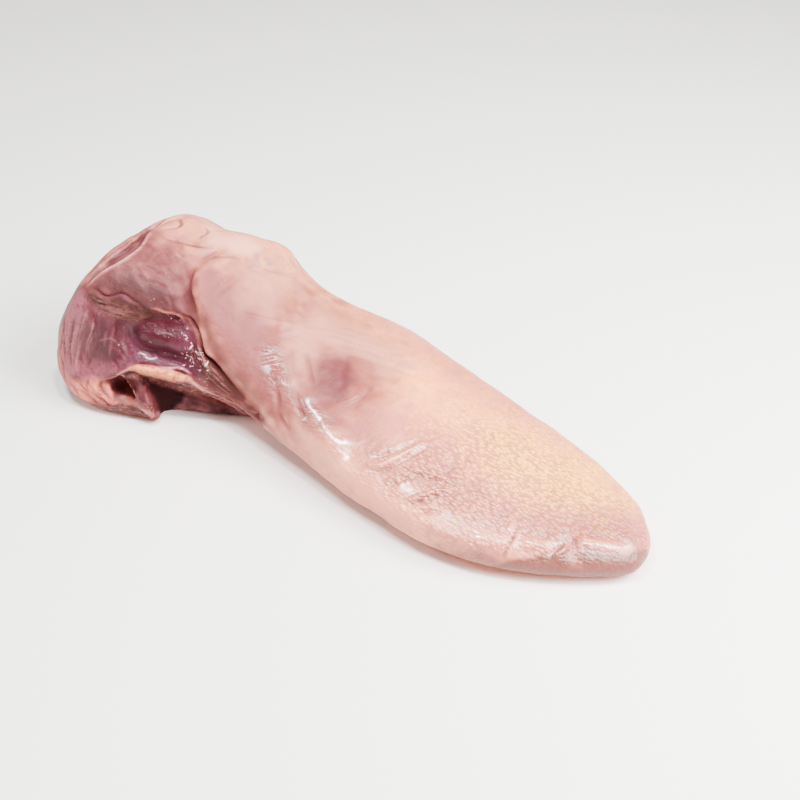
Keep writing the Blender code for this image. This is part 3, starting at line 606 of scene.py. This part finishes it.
# Strokes on the hidden sides: kind, half width, height, paint, strength, the side that they are
# seen from, then points. Dark paints in furrows are painted shade.
FAR, END, BELOW = (0, 1, 0), (-1, 0, 0), (0, 0, -1)
SIDE_STROKES = (
    ("furrow", 2.2, 2.4, "dark", 0.9, FAR, ((-146, 44, 58), (-128, 48, 54), (-106, 50, 50),
     (-84, 54, 42), (-66, 56, 32))),
    ("furrow", 2.2, 1.6, "dark", 0.6, FAR, ((-148, 40, 22), (-128, 44, 20), (-104, 48, 18),
     (-78, 52, 14))),
    ("ridge", 2.6, 1.0, "fat", 0.9, FAR, ((-144, 40, 15), (-120, 44, 13), (-96, 48, 11),
     (-70, 52, 8))),
    ("furrow", 2.6, 0.8, "shade", 0.2, FAR, ((-40, 60, 26), (-10, 66, 22), (30, 66, 18),
     (70, 58, 15))),
    ("furrow", 2.2, 0.8, "shade", 0.4, FAR, ((-122, 40, 76), (-118, 44, 64), (-112, 48, 54))),
    ("furrow", 2.0, 0.7, "shade", 0.4, FAR, ((-96, 46, 70), (-90, 50, 58), (-86, 54, 46))),
    ("furrow", 2.4, 1.8, "gap", 0.9, END, ((-160, 30, 60), (-160, 16, 66), (-160, 0, 62),
     (-160, -14, 52), (-160, -22, 38))),
    ("furrow", 2.0, 1.4, "gap", 0.7, END, ((-160, -10, 68), (-160, -24, 64), (-160, -38, 54),
     (-160, -46, 42))),
    ("furrow", 2.2, 1.3, "gap", 0.7, END, ((-160, 26, 40), (-160, 14, 30), (-160, -2, 24),
     (-160, -14, 14))),
    ("ridge", 2.0, 0.9, "fat", 0.5, END, ((-160, 22, 46), (-160, 10, 38), (-160, -4, 34))),
    ("furrow", 2.6, 1.0, "shade", 0.3, BELOW, ((20, 7, 0), (60, 5, 0), (110, 4, 0), (140, 3, 0))),
    ("ridge", 2.6, 0.8, "pale_near", 0.4, BELOW, ((20, 14, 0), (60, 11, 0), (110, 9, 0))),
    ("ridge", 2.6, 0.8, "pale_near", 0.4, BELOW, ((22, 1, 0), (60, -2, 0), (110, -2, 0))),
)

# Bundles of strands on the hidden sides: as above, with the side and points instead of pixels
SIDE_BUNDLES = (
    (14, 1.4, 2.2, 0.9, "gap", 0.8, "thread", 0.35, FAR, ((-150, 44, 52), (-128, 48, 50),
     (-104, 50, 45), (-80, 54, 36)), ((-148, 40, 26), (-126, 46, 24), (-102, 50, 20),
     (-78, 54, 14))),
    (8, 2.0, 3.0, 0.5, "shade", 0.3, None, 0, FAR, ((-140, 40, 80), (-110, 46, 78), (-80, 52, 66),
     (-52, 58, 52)), ((-140, 44, 62), (-110, 48, 58), (-80, 54, 46), (-52, 60, 34))),
    (12, 1.4, 2.2, 0.9, "gap", 0.8, "thread", 0.4, END, ((-160, 26, 62), (-160, 30, 46),
     (-160, 28, 30), (-160, 24, 16)), ((-160, -40, 60), (-160, -46, 44), (-160, -46, 28),
     (-160, -40, 14))),
    (12, 1.5, 2.6, 0.8, "gap", 0.7, "thread", 0.3, BELOW, ((-150, -38, 0), (-112, -26, 0),
     (-76, -8, 0), (-36, 2, 0)), ((-146, 20, 0), (-110, 32, 0), (-76, 40, 0), (-40, 42, 0))),
    (9, 2.0, 3.4, 0.5, "shade", 0.35, "pale_near", 0.3, BELOW, ((-20, -20, 0), (20, -34, 0),
     (70, -36, 0), (120, -30, 0)), ((-20, 46, 0), (20, 50, 0), (70, 44, 0), (120, 30, 0))),
)

# Areas on the hidden sides: mask, strength, then the middle and the reach along each axis
SIDE_AREAS = (
    ("hump", 1.0, (-96, 26, 84), (60, 40, 26)),
    ("plane", 1.0, (-134, 44, 48), (72, 28, 46)),
    # Painted shade on the plane of the hidden sides
    ("plane_shade", 0.6, (-108, 52, 36), (58, 20, 28)),
    ("plane", 1.0, (-172, 0, 52), (34, 90, 60)),
    ("plane_shade", 0.8, (-168, 34, 44), (22, 22, 34)),
    ("lobe", 1.0, (-168, -14, 34), (26, 50, 34)),
    ("pale_lobe", 0.4, (-168, -34, 26), (26, 22, 22)),
    ("deep_lobe_and_shade", 0.9, (-168, -4, 44), (18, 22, 16)),
    ("lobe", 0.8, (-120, 10, -2), (70, 60, 12)),
    ("cut", 0.9, (-112, 52, 35), (38, 18, 15)),
    ("wet", 0.4, (-112, 52, 35), (38, 18, 15)),
    ("fat", 0.5, (-168, 22, 18), (14, 14, 8)),
    ("fat", 0.4, (-170, -26, 62), (10, 12, 5)),
    ("fat", 0.7, (-120, -30, -2), (30, 22, 10)),
    ("fat", 0.6, (-84, 24, -2), (30, 18, 10)),
    ("near", 0.9, (60, 4, -4), (140, 70, 14)),
    ("near", 0.8, (20, 62, 12), (130, 16, 22)),
    ("shine", 0.8, (30, 60, 24), (120, 18, 20)),
)


def view_ray(pixel):
    """The direction from the camera through a pixel."""
    half = VIEW_PIXELS / 2
    local = Vector((pixel[0] - half, half - pixel[1], -FOCAL_PIXELS))
    return (Euler(CAMERA_TURN).to_matrix() @ local).normalized()


def view_pixels(points):
    """The pixels at which points in metres are seen."""
    turn = np.array(Euler(CAMERA_TURN).to_matrix())
    local = (points - np.array(CAMERA_PLACE)) @ turn
    scale = FOCAL_PIXELS / -local[:, 2]
    half = VIEW_PIXELS / 2
    return np.stack([half + local[:, 0] * scale, half - local[:, 1] * scale], 1)


def smooth_line(points):
    """More points along a Catmull-Rom curve through the given ones."""
    table = np.array(points, float)
    padded = np.vstack([2 * table[0] - table[1], table, 2 * table[-1] - table[-2]])
    found = []
    for a, b, c, d in zip(padded, padded[1:], padded[2:], padded[3:]):
        for t in np.arange(CURVE_STEPS) / CURVE_STEPS:
            found.append(
                0.5 * (2 * b + (c - a) * t + (2 * a - 5 * b + 4 * c - d) * t**2
                       + (3 * b - a - 3 * c + d) * t**3)
            )
    return np.array([*found, table[-1]])


def eased(share):
    """A share from 0 to 1 that starts and ends gently."""
    return share * share * (3 - 2 * share)


def lattice_value(cells):
    """A fixed random value from 0 to 1 for each whole-numbered cell."""
    mixed = sum(cells[..., axis] * step for axis, step in enumerate(CELL_STEPS))
    mixed = (mixed ^ (mixed >> 13)) * CELL_MIX
    return ((mixed ^ (mixed >> 16)) & CELL_VALUES) / CELL_VALUES


def noise(points, size, seed):
    """Smooth noise from -1 to 1, with lumps of about the given size."""
    scaled = points / size + seed * SEED_STEP
    cell = np.floor(scaled).astype(np.int64)
    t = eased(scaled - cell)
    total = 0
    for corner in np.ndindex(2, 2, 2):
        weight = np.prod(np.where(corner, t, 1 - t), axis=1)
        total = total + weight * lattice_value(cell + np.array(corner))
    return total * 2 - 1


class Skin:
    """The fine mesh while it is shaped, with its masks. Sizes are in millimetres."""

    def __init__(self, obj):
        self.obj = obj
        self.masks = {}
        self.refresh()
        self.seen_from_camera()

    def refresh(self):
        """Reads points and normals again, and the tree that rays are thrown at."""
        mesh = self.obj.data
        flat = np.empty(len(mesh.vertices) * 3, np.float32)
        mesh.vertices.foreach_get("co", flat)
        self.points = flat.reshape(-1, 3).astype(float) / MM
        self.shift = np.zeros_like(self.points)
        mesh.vertex_normals.foreach_get("vector", flat)
        self.normals = flat.reshape(-1, 3).astype(float)
        bm = bmesh.new()
        bm.from_mesh(mesh)
        self.tree = BVHTree.FromBMesh(bm)
        bm.free()

    def write(self):
        """Moves the points by what the strokes and swells have gathered."""
        self.points += self.shift
        self.obj.data.vertices.foreach_set("co", (self.points * MM).astype(np.float32).ravel())
        self.obj.data.update()
        self.refresh()

    def keep_within(self, box):
        """Brings points that stand out of the box in metres back into it."""
        low, high = np.array(box) / MM
        self.points = np.clip(self.points, low + BOX_MARGIN, high - BOX_MARGIN)
        self.write()

    def seen_from_camera(self):
        """Finds each point's pixel, and how well the camera sees it."""
        camera = Vector(CAMERA_PLACE)
        self.pixels = view_pixels(self.points * MM)
        to_camera = np.array(CAMERA_PLACE) / MM - self.points
        to_camera /= np.linalg.norm(to_camera, axis=1)[:, None]
        facing = np.einsum("ij,ij->i", self.normals, to_camera)
        self.seen = np.zeros(len(self.points))
        for i in np.nonzero(facing > TURNED_AWAY)[0]:
            target = Vector(self.points[i] * MM)
            hit = self.tree.ray_cast(camera, (target - camera).normalized())[0]
            if hit is not None and (hit - target).length < SIGHT_SLACK * MM:
                self.seen[i] = np.clip(SEEN_LEAST + facing[i] * SEEN_RISE, 0, 1)

    def landed(self, rays):
        """Where rays from starts along directions fall on the surface, with the normals there."""
        points, normals = [], []
        for start, direction in rays:
            hit, normal, _, _ = self.tree.ray_cast(start, direction)
            if hit is not None:
                points.append(np.array(hit) / MM)
                normals.append(np.array(normal))
        return np.array(points), np.array(normals)

    def from_view(self, pixels):
        """Where a fine line of pixels falls on the surface."""
        camera = Vector(CAMERA_PLACE)
        return self.landed((camera, view_ray(pixel)) for pixel in pixels)

    def from_side(self, line, side):
        """Where a fine line of points falls on the surface, coming from one side."""
        outward = Vector(side)
        start = outward * (SIDE_START * MM)
        return self.landed((Vector(point * MM) + start, -outward) for point in line)

    def stroke(self, kind, half_width, height, paint, strength, points, normals):
        """Raises or presses the surface along a line that lies on it, and paints it."""
        if len(points) < 2:
            return
        low, high = points.min(0) - half_width, points.max(0) + half_width
        near = np.nonzero(np.all((self.points > low) & (self.points < high), axis=1))[0]
        if len(near) == 0:
            return
        gaps = self.points[near][:, None, :] - points[None, :, :]
        away = np.sqrt((gaps**2).sum(2))
        closest = away.argmin(1)
        reach = away[np.arange(len(near)), closest] / half_width
        same_side = np.einsum("ij,ij->i", self.normals[near], normals[closest]) > SAME_SIDE
        along = closest / (len(points) - 1)
        fade = np.clip(np.minimum(along, 1 - along) / END_FADE, 0, 1)
        uneven = 1 + STROKE_UNEVEN * noise(self.points[near], STROKE_LUMPS, seed=3)
        share = np.clip(1 - reach**2, 0, 1) ** 2 * fade * same_side * uneven
        sign = -1 if kind == "furrow" else 1
        self.shift[near] += self.normals[near] * (share * height * sign)[:, None]
        if paint:
            self.paint(paint, near, share * strength)

    def bundle(self, bundle, pick, landing):
        """Strands that run unevenly between two lines. The landing puts a line on the surface."""
        count, thin, thick, height, furrow, furrow_strength, ridge, ridge_strength = bundle[:8]
        first, last = smooth_line(bundle[-2]), smooth_line(bundle[-1])
        for i in range(count):
            share = (i + pick.uniform(*STRAND_PLACE)) / count
            sway = pick.uniform(-STRAND_SWAY, STRAND_SWAY)
            sway = sway * np.sin(np.linspace(0, pick.uniform(*STRAND_WAVES), len(first)))
            line = first + (last - first) * (share + sway)[:, None]
            start = int(pick.uniform(*STRAND_STARTS) * len(line))
            end = int(pick.uniform(*STRAND_ENDS) * len(line))
            half_width = pick.uniform(thin, thick)
            depth = height * pick.uniform(*STRAND_DEPTHS)
            kind, paint, strength = (("ridge", ridge, ridge_strength) if i % 2
                                     else ("furrow", furrow, furrow_strength))
            self.stroke(kind, half_width, depth, paint, strength, *landing(line[start:end]))

    def paint(self, mask, where, share):
        """Brings a mask up to at least the share at some points."""
        values = self.masks.setdefault(mask, np.zeros(len(self.points)))
        values[where] = np.maximum(values[where], np.clip(share, 0, 1))

    def area(self, mask, strength, feather, outline):
        """Adds an area seen from the camera to a mask."""
        signed = distance_inside(self.pixels, np.array(outline, float))
        signed += noise(self.points, EDGE_LUMPS, seed=5) * feather * EDGE_UNEVEN
        share = np.clip(0.5 + signed / (2 * feather), 0, 1)
        self.paint(mask, slice(None), eased(share) * strength * self.seen)

    def blob(self, mask, strength, middle, reach):
        """Adds an uneven blob around a hidden point to a mask."""
        away = np.linalg.norm((self.points - middle) / reach, axis=1)
        away += sum(noise(self.points, size, seed) * share for size, seed, share in BLOB_LUMPS)
        share = np.clip((BLOB_EDGE - away) / BLOB_FADE, 0, 1)
        self.paint(mask, slice(None), eased(share) * strength * (1 - self.seen))

    def swell(self):
        """Makes the whole surface uneven, and its raw parts more so."""
        raw = np.maximum.reduce([self.masks[name] for name in RAW_MASKS])
        shares = {"all": 1, "raw": raw, "shine": self.masks["shine"]}
        total = sum(noise(self.points * squeeze, size, seed) * height * shares[where]
                    for where, height, size, squeeze, seed in SWELLS)
        self.shift += self.normals * total[:, None]


def distance_inside(pixels, outline):
    """How far inside an outline each pixel lies, below 0 outside."""
    x, y = pixels[:, 0], pixels[:, 1]
    inside = np.zeros(len(x), bool)
    distance = np.full(len(x), np.inf)
    for (ax, ay), (bx, by) in zip(outline, np.roll(outline, -1, 0)):
        dx, dy = bx - ax, by - ay
        crosses = (ay > y) != (by > y)
        inside ^= crosses & (x < dx * (y - ay) / (dy or TINY) + ax)
        t = np.clip(((x - ax) * dx + (y - ay) * dy) / max(dx**2 + dy**2, TINY), 0, 1)
        distance = np.minimum(distance, np.hypot(x - ax - t * dx, y - ay - t * dy))
    return np.where(inside, distance, -distance)


def fine_copy(node):
    """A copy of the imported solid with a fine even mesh, without the node's own marks."""
    obj = node.copy()
    obj.data = node.data.copy()
    obj.name = "tongue_flesh"
    bpy.context.scene.collection.objects.link(obj)
    bm = bmesh.new()
    bm.from_mesh(obj.data)
    bmesh.ops.remove_doubles(bm, verts=bm.verts, dist=SAME_POINT * MM)
    bm.to_mesh(obj.data)
    bm.free()
    for name in list(obj.keys()):
        del obj[name]
    obj.parent = None
    bpy.ops.object.select_all(action="DESELECT")
    obj.select_set(True)
    bpy.context.view_layer.objects.active = obj
    modify(obj, "REMESH", mode="VOXEL", voxel_size=SKIN_VOXEL * MM)
    modify(obj, "SMOOTH", factor=0.5, iterations=FIRST_SMOOTHING)
    split_where_seen(obj)
    modify(obj, "SMOOTH", factor=0.5, iterations=1)
    return obj


def split_where_seen(obj):
    """Splits the faces that are turned to the camera, for finer detail."""
    mesh = obj.data
    flat = np.empty(len(mesh.vertices) * 3, np.float32)
    mesh.vertices.foreach_get("co", flat)
    points = flat.reshape(-1, 3).astype(float)
    mesh.vertex_normals.foreach_get("vector", flat)
    facing = np.einsum("ij,ij->i", flat.reshape(-1, 3), np.array(CAMERA_PLACE) - points)
    picked = facing > 0
    ends = np.empty(len(mesh.edges) * 2, np.int32)
    mesh.edges.foreach_get("vertices", ends)
    faces = [bool(picked[list(face.vertices)].all()) for face in mesh.polygons]
    mesh.vertices.foreach_set("select", picked)
    mesh.edges.foreach_set("select", picked[ends.reshape(-1, 2)].all(1))
    mesh.polygons.foreach_set("select", faces)
    bpy.ops.object.mode_set(mode="EDIT")
    bpy.ops.mesh.subdivide(number_cuts=1, ngon=False)
    bpy.ops.object.mode_set(mode="OBJECT")


def modify(obj, kind, **settings):
    """Adds a modifier and applies it."""
    modifier = obj.modifiers.new(kind, kind)
    for key, value in settings.items():
        setattr(modifier, key, value)
    bpy.context.view_layer.objects.active = obj
    bpy.ops.object.modifier_apply(modifier=modifier.name)


def sculpt(obj, box):
    """Shapes and paints the skin, which stays within the box."""
    skin = Skin(obj)
    for *look, pixels in VIEW_STROKES:
        skin.stroke(*look, *skin.from_view(smooth_line(pixels)))
    for *look, side, line in SIDE_STROKES:
        skin.stroke(*look, *skin.from_side(smooth_line(line), side))
    pick = random.Random(STRAND_SEED)
    for bundle in VIEW_BUNDLES:
        skin.bundle(bundle, pick, skin.from_view)
    for bundle in SIDE_BUNDLES:
        skin.bundle(bundle, pick, lambda line, side=bundle[8]: skin.from_side(line, side))
    for area in VIEW_AREAS:
        skin.area(*area)
    for area in SIDE_AREAS:
        skin.blob(*area)
    skin.swell()
    skin.write()
    skin.keep_within(box)
    return skin


def add_masks(obj, masks):
    """Keeps the masks on the mesh, for the material to read."""
    for name, values in masks.items():
        attribute = obj.data.attributes.new(name, "FLOAT", "POINT")
        attribute.data.foreach_set("value", np.asarray(values, np.float32))


class Value:
    """A socket with arithmetic: each operation adds one Math node."""

    def __init__(self, shading, socket):
        self.shading = shading
        self.socket = socket

    def __add__(self, other):
        return self.shading.math("ADD", self, other)

    def __sub__(self, other):
        return self.shading.math("SUBTRACT", self, other)

    def __rsub__(self, other):
        return self.shading.math("SUBTRACT", other, self)

    def __mul__(self, other):
        return self.shading.math("MULTIPLY", self, other)

    __radd__ = __add__
    __rmul__ = __mul__

    def clamp(self):
        return self.shading.node("ShaderNodeClamp", {}, {"Value": self})

    def ramp(self, low, high):
        """Rises smoothly from 0 at low to 1 at high."""
        return self.shading.node(
            "ShaderNodeMapRange", {"interpolation_type": "SMOOTHSTEP"},
            {"Value": self, "From Min": low, "From Max": high, "To Min": 0.0, "To Max": 1.0})


class Shading:
    """Builds the nodes of one material."""

    def __init__(self, name):
        self.material = bpy.data.materials.new(name)
        self.material.use_nodes = True
        self.tree = self.material.node_tree
        self.shader = self.tree.nodes["Principled BSDF"]
        self.place = self.tree.nodes.new("ShaderNodeTexCoord").outputs["Object"]

    def set(self, socket, value):
        """Gives a socket a value or a link."""
        if isinstance(value, Value):
            value = value.socket
        if isinstance(value, bpy.types.NodeSocket):
            self.tree.links.new(value, socket)
        else:
            socket.default_value = value

    def finish(self, looks):
        """Sets or links sockets of the material's own shader."""
        for key, value in looks.items():
            self.set(self.shader.inputs[key], value)

    def node(self, kind, settings, inputs, output=0):
        """Any node, with its settings made before its sockets are set."""
        made = self.tree.nodes.new(kind)
        for key, value in settings.items():
            setattr(made, key, value)
        for key, value in inputs.items():
            self.set(made.inputs[key], value)
        return Value(self, made.outputs[output])

    def math(self, operation, *values):
        return self.node("ShaderNodeMath", {"operation": operation}, dict(enumerate(values)))

    def mask(self, name):
        return self.node("ShaderNodeAttribute", {"attribute_name": name}, {}, "Fac")

    def stretched(self, scale, turn=(0.0, 0.0, 0.0)):
        return self.node("ShaderNodeMapping", {},
                         {"Vector": self.place, "Rotation": turn, "Scale": scale})

    def noise(self, scale, detail, roughness, distortion, squeeze):
        vector = self.stretched(squeeze) if squeeze else self.place
        return self.node(
            "ShaderNodeTexNoise", {},
            {"Vector": vector, "Scale": scale, "Detail": detail, "Roughness": roughness,
             "Distortion": distortion}, "Fac")

    def cells(self, scale, vector):
        return self.node("ShaderNodeTexVoronoi", {}, {"Vector": vector, "Scale": scale},
                         "Distance")

    def mix(self, factor, a, b):
        return self.node("ShaderNodeMix", {"data_type": "RGBA"}, {0: factor, 6: a, 7: b}, 2)


class Flesh(Shading):
    """The raw flesh. Its tint and its relief are built up one on another."""

    def __init__(self):
        super().__init__("raw_flesh")
        for name, settings in PATTERNS.items():
            setattr(self, name, self.noise(*settings))
        self.buds = self.cells(BUD_SCALE, self.stretched(BUD_SQUEEZE, BUD_TURN))
        self.tint = self.blend("skin", self.blotches.ramp(0.35, 0.68))
        self.normal = None

    def blend(self, name, paleness):
        """A colour that turns into its pale form by a pattern."""
        return self.mix(paleness, PALETTE[name], PALETTE["pale_" + name])

    def lay(self, amount, tint):
        """Lays a tint or a named colour over what is there."""
        over = PALETTE[tint] if isinstance(tint, str) else tint
        self.tint = self.mix(amount, self.tint, over)

    def coat(self, name, amount=1.0):
        """Lays a named colour where its mask is."""
        self.lay(self.mask(name) * amount, name)

    def part(self, name, paleness, amount=1.0):
        """Lays a named colour and its pale form where the mask is."""
        self.lay(self.mask(name) * amount, self.blend(name, paleness))

    def raised(self, height, distance):
        """Adds a relief, with a distance in metres."""
        inputs = {"Height": height, "Distance": distance, "Strength": 1.0}
        if self.normal:
            inputs["Normal"] = self.normal
        self.normal = self.node("ShaderNodeBump", {}, inputs, "Normal")

    def tint_back(self):
        """The skin of the back, with the cream patch, the hump and the papillae, then painted shade
        and painted sheen laid over it.
        """
        papillae = self.mask("papillae")
        self.coat("cream", 0.55 + self.blotches * 0.5)
        self.coat("gold", 0.85)
        self.part("near", self.blotches.ramp(0.3, 0.7), 0.85)
        self.coat("hump", 0.85)
        greyness = 0.18 + self.mask("hump") * 0.7 - papillae * 0.12
        self.lay(self.network.ramp(0.5, 0.6) * greyness, "lavender")
        self.lay(self.mottling.ramp(0.5, 0.75) * 0.3, "pale_near")
        self.lay(self.speckle.ramp(0.5, 0.36) * 0.2, "lavender")
        self.lay(self.speckle.ramp(0.52, 0.66) * 0.12, "papilla")
        self.lay(self.buds.ramp(0.38, 0.58) * (0.03 + papillae * 0.5), "rose")
        self.lay(self.buds.ramp(0.3, 0.12) * (0.02 + papillae * 0.6), "papilla")
        self.lay(self.ripples.ramp(0.5, 0.4) * (0.04 + papillae * 0.15), "rose")
        # Painted shade over the left of the back, made uneven by the mottling
        self.coat("mauve_shade", 0.7 + self.mottling * 0.5)
        # Rose red, and painted shade in the folds and along the left of the back
        self.coat("rose", 0.65 + self.mottling * 0.5)
        # The red of the hollow and painted shade in the creases
        self.coat("blush", 0.7 + self.mottling * 0.4)
        # Painted sheen on the lit patches, made uneven by the mottling
        self.coat("painted_sheen", 0.6 + self.mottling * 0.6)
        # Painted shade on the near wall, painted sheen and highlights on the near shoulder, and
        # painted shade in the furrows
        for name in ("wall_shade", "pale_near", "lavender", "shade"):
            self.coat(name)

    def tint_root(self):
        """The raw flesh of the root: its plane, lobe, foot and cut, and what lines them, with
        painted shade on the plane, in the recess and in the slots.
        """
        self.part("plane", self.mottling.ramp(0.3, 0.7), 1 - self.mask("shade") * 0.5)
        # Painted shade on the plane
        self.coat("plane_shade", 0.5 + self.network * 0.6)
        self.part("lobe", self.strands.ramp(0.4, 0.8) * 0.6)
        # The darker plum of the lobe, and painted shade where its mask lies under the crease and by
        # the flap
        self.coat("deep_lobe_and_shade", 0.65 + self.blotches * 0.6)
        foot = self.blend("foot", self.network.ramp(0.35, 0.6))
        veined = self.mix(self.veins.ramp(0.42, 0.56) * 0.7, foot, PALETTE["rose"])
        self.lay(self.mask("foot"), veined)
        self.part("cut", self.blotches.ramp(0.35, 0.7))
        self.part("membrane", self.fibres.ramp(0.3, 0.8) * 0.8, 0.9)
        self.coat("tan")
        # Painted shade in the recess, lighter in blotches
        self.part("under_shade", self.blotches.ramp(0.3, 0.7))
        self.part("strip", self.fibres.ramp(0.45, 0.75))
        # Dark red in the cut, and painted shade in the slots and the cave
        self.coat("blood", 0.6 + self.veins * 0.4)
        self.part("fat", self.mottling.ramp(0.35, 0.7), self.grain.ramp(0.25, 0.5))
        self.lay(self.mask("fat") * self.speckle.ramp(0.5, 0.38) * 0.6, "strip")

    def tint_strands(self):
        """The strands, painted shade in the gaps between them, in creases and in the cave, and
        painted glints on what is wet.
        """
        for name in ("pale_lobe", "pale_membrane", "pale_strip", "pale_foot", "thread", "bead"):
            self.coat(name, self.grain.ramp(0.2, 0.5))
        # Painted shade in gaps, creases and the cave, then painted glints
        for name in ("gap", "dark", "cavity", "glint"):
            self.coat(name)
        # Painted glints scattered over the wet cut
        glint_specks = self.mask("glint_specks")
        painted_glints = (self.spots + glint_specks * 0.12).ramp(0.68, 0.75)
        self.lay(painted_glints * glint_specks.ramp(0.0, 0.3), "glint")

    def raise_relief(self):
        """The relief that is too fine for the mesh, from soft lumps to papillae."""
        papillae, shine = self.mask("papillae"), self.mask("shine")
        raw = (self.mask("cut") + self.mask("lobe") + self.mask("membrane")
               + self.mask("under_shade") * 0.5 + self.mask("foot") * 0.6)
        self.raised(self.blotches + self.mottling * 0.6, 0.0012)
        self.raised((self.fibres * 0.4 + self.strands * 0.6) * raw, 0.0006)
        self.raised(self.grain * (1 + self.mask("wet") * 0.3), 0.0003)
        self.raised(self.fine * (0.4 + shine * 0.4), 0.00014)
        self.raised((1 - self.buds) * (0.06 + papillae + shine * 0.3), 0.00085)
        self.raised(self.ripples * (0.1 + papillae), 0.0002)

    def finish_flesh(self):
        """Makes the flesh glossy where it is wet, and matte where it is dry or in the dark."""
        wet, shine, gloss = self.mask("wet"), self.mask("shine"), self.mask("gloss")
        beads = self.grain.ramp(0.42, 0.58) * 0.6 + 0.4
        tips = self.buds.ramp(0.5, 0.22) * 1.1
        drops = beads + (tips - beads) * self.mask("papillae")
        looks = {"Base Color": self.tint, "Normal": self.normal}
        self.finish({
            **looks,
            "Roughness": (0.56 - self.mottling * 0.1 - wet * 0.28 - shine * 0.2 - gloss * 0.12
                          - self.mask("lobe") * 0.1),
            "Coat Weight": wet * 0.12 + shine * 0.15 + gloss * drops * 0.95,
            **WET_LOOKS,
        })
        dryness = sum(self.mask(name) * share for name, share in MATTE_SHARES.items())
        dryness = (dryness - shine * 0.25 - gloss * 2).clamp()
        matte = self.node("ShaderNodeBsdfPrincipled", {}, {**looks, **DRY_LOOKS})
        whole = self.node("ShaderNodeMixShader", {},
                          {0: dryness, 1: self.shader.outputs["BSDF"], 2: matte})
        self.set(self.tree.nodes["Material Output"].inputs["Surface"], whole)


def flesh_material():
    flesh = Flesh()
    flesh.tint_back()
    flesh.tint_root()
    flesh.tint_strands()
    flesh.raise_relief()
    flesh.finish_flesh()
    return flesh.material


def add_floor():
    """A pale floor just below the tongue."""
    bpy.ops.mesh.primitive_plane_add(size=FLOOR_SIZE, location=(0.0, 0.0, -FLOOR_DROP))
    floor = bpy.context.active_object
    floor.name = "floor"
    shading = Shading("pale_floor")
    shading.finish(FLOOR_LOOKS)
    floor.data.materials.append(shading.material)


def add_lamps():
    """The even light of the room, and soft lamps that look at the middle of the tongue."""
    world = bpy.data.worlds.new("studio_air")
    world.use_nodes = True
    world.node_tree.nodes["Background"].inputs["Color"].default_value = AIR_COLOUR
    world.node_tree.nodes["Background"].inputs["Strength"].default_value = AIR_STRENGTH
    bpy.context.scene.world = world
    for name, place, size, power in LAMPS:
        light = bpy.data.lights.new(name, "AREA")
        light.energy = power
        light.size = size
        lamp = bpy.data.objects.new(name, light)
        lamp.location = place
        lamp.rotation_euler = Vector(place).to_track_quat("Z", "Y").to_euler()
        bpy.context.scene.collection.objects.link(lamp)


def add_camera():
    """The camera, with a lens that gives the view its focal length in pixels."""
    camera = bpy.data.objects.new("view", bpy.data.cameras.new("view"))
    camera.location = CAMERA_PLACE
    camera.rotation_euler = CAMERA_TURN
    camera.data.lens = SENSOR_MM * FOCAL_PIXELS / VIEW_PIXELS
    camera.data.sensor_width = SENSOR_MM
    camera.data.clip_start = NEAREST
    bpy.context.scene.collection.objects.link(camera)
    bpy.context.scene.camera = camera


def main():
    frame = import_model()
    cad_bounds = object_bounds()
    flesh = fine_copy(frame["nodes"]["tongue"])
    skin = sculpt(flesh, cad_bounds)
    add_masks(flesh, skin.masks)
    flesh.data.materials.clear()
    flesh.data.materials.append(flesh_material())
    flesh.data.shade_smooth()
    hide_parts("tongue")
    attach(flesh, "root")
    add_floor()
    add_lamps()
    add_camera()


main()
